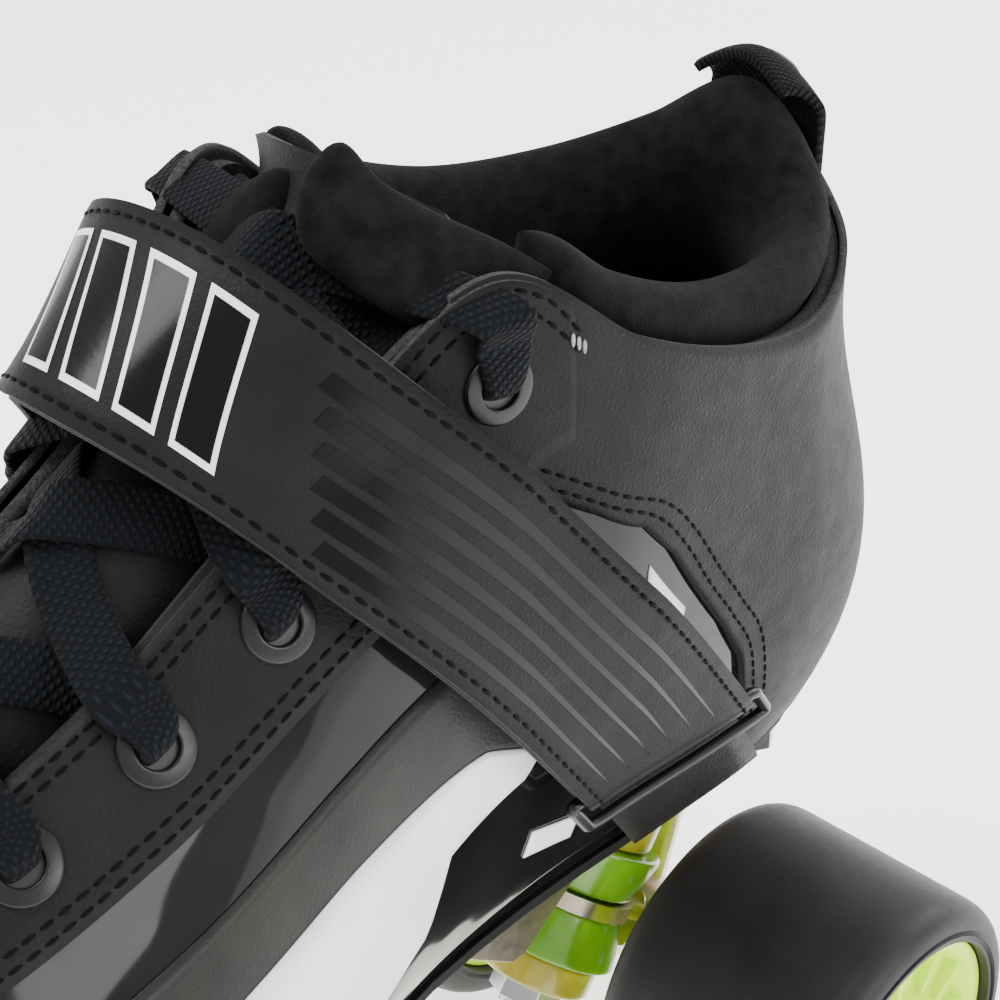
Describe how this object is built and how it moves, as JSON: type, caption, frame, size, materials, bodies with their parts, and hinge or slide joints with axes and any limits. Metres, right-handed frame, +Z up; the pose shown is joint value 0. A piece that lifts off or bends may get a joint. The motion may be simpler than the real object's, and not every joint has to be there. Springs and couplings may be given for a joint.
{
  "type": "quad roller skate",
  "caption": "Left quad roller skate: lace-up boot with instep strap on a metal plate, cushioned trucks, wheels on bearings and a toe stop.",
  "frame": {"origin": "middle of the box round the skate, on the ground under the wheels", "axes": "+X to the toe, +Y to the outer side of the foot, +Z up"},
  "size_m": [0.2866, 0.126, 0.206],
  "materials": {
    "leather": "matte, fine grained",
    "suede": "matte suede lining",
    "webbing": "woven",
    "lace": "flat woven",
    "gunmetal": "satin",
    "champagne_metal": "satin anodised",
    "steel": "satin",
    "amber_urethane": "translucent gloss",
    "green_urethane": "translucent gloss",
    "tyre": "satin polyurethane",
    "hub": "gloss neon",
    "rubber": "matte",
    "patent": "high gloss"
  },
  "bodies": {
    "skate_frame": {"plate": "champagne_metal", "mounting_bolt_1": "steel", "mounting_bolt_2": "steel", "mounting_bolt_3": "steel", "mounting_bolt_4": "steel", "toe_stop_lock_nut": "steel", "front_truck_kingpin": "steel", "front_truck_upper_retainer": "amber_urethane", "front_truck_upper_cushion": "green_urethane", "front_truck_lower_cushion": "green_urethane", "front_truck_lower_retainer": "amber_urethane", "rear_truck_kingpin": "steel", "rear_truck_upper_retainer": "amber_urethane", "rear_truck_upper_cushion": "green_urethane", "rear_truck_lower_cushion": "green_urethane", "rear_truck_lower_retainer": "amber_urethane", "outsole": "leather", "boot_upper": "leather", "insole": "suede", "collar_padding": "suede", "tongue": "leather", "lace": "lace", "heel_counter": "leather", "outer_eyestay": "leather", "inner_eyestay": "leather", "outer_side_panel": "patent", "inner_side_panel": "patent", "pull_tab": "webbing", "instep_strap": "leather", "strap_ring": "gunmetal", "ring_tab": "leather"},
    "front_truck": {"front_truck_hanger": "champagne_metal", "front_truck_axle": "steel", "front_outer_axle_nut": "steel", "front_inner_axle_nut": "steel"},
    "rear_truck": {"rear_truck_hanger": "champagne_metal", "rear_truck_axle": "steel", "rear_outer_axle_nut": "steel", "rear_inner_axle_nut": "steel"},
    "front_outer_wheel": {"front_outer_wheel_tyre": "tyre", "front_outer_wheel_hub": "hub", "front_outer_wheel_bearing_a": "steel", "front_outer_wheel_bearing_b": "steel"},
    "front_inner_wheel": {"front_inner_wheel_tyre": "tyre", "front_inner_wheel_hub": "hub", "front_inner_wheel_bearing_a": "steel", "front_inner_wheel_bearing_b": "steel"},
    "rear_outer_wheel": {"rear_outer_wheel_tyre": "tyre", "rear_outer_wheel_hub": "hub", "rear_outer_wheel_bearing_a": "steel", "rear_outer_wheel_bearing_b": "steel"},
    "rear_inner_wheel": {"rear_inner_wheel_tyre": "tyre", "rear_inner_wheel_hub": "hub", "rear_inner_wheel_bearing_a": "steel", "rear_inner_wheel_bearing_b": "steel"},
    "toe_stop": {"toe_stop": "rubber", "toe_stop_stem": "steel"},
    "strap_flap": {"strap_flap": "leather"}
  },
  "joints": [
    {"name": "front_truck_tilt", "type": "hinge", "parent": "skate_frame", "child": "front_truck", "pos_m": [0.0518, 0, 0.0433], "axis": [0.8761, 0, 0.4821], "range_deg": [-8, 8], "stiffness_Nm_per_rad": 40, "deforming": ["front_truck_upper_cushion", "front_truck_lower_cushion"]},
    {"name": "rear_truck_tilt", "type": "hinge", "parent": "skate_frame", "child": "rear_truck", "pos_m": [-0.0868, 0, 0.0433], "axis": [-0.8761, 0, 0.4821], "range_deg": [-8, 8], "stiffness_Nm_per_rad": 40, "deforming": ["rear_truck_upper_cushion", "rear_truck_lower_cushion"]},
    {"name": "front_outer_wheel_spin", "type": "hinge", "parent": "front_truck", "child": "front_outer_wheel", "pos_m": [0.065, 0.04125, 0.031], "axis": [0, 1, 0], "continuous": true},
    {"name": "front_inner_wheel_spin", "type": "hinge", "parent": "front_truck", "child": "front_inner_wheel", "pos_m": [0.065, -0.04125, 0.031], "axis": [0, 1, 0], "continuous": true},
    {"name": "rear_outer_wheel_spin", "type": "hinge", "parent": "rear_truck", "child": "rear_outer_wheel", "pos_m": [-0.1, 0.04125, 0.031], "axis": [0, 1, 0], "continuous": true},
    {"name": "rear_inner_wheel_spin", "type": "hinge", "parent": "rear_truck", "child": "rear_inner_wheel", "pos_m": [-0.1, -0.04125, 0.031], "axis": [0, 1, 0], "continuous": true},
    {"name": "toe_stop_height", "type": "slide", "parent": "skate_frame", "child": "toe_stop", "axis": [0.45, 0, -0.893], "range_m": [0, 0.006]},
    {"name": "strap_flap_open", "type": "hinge", "parent": "skate_frame", "child": "strap_flap", "pos_m": [-0.071, 0.0354, 0.0986], "axis": [-0.7915, 0, 0.6112], "range_deg": [0, 90]}
  ]
}
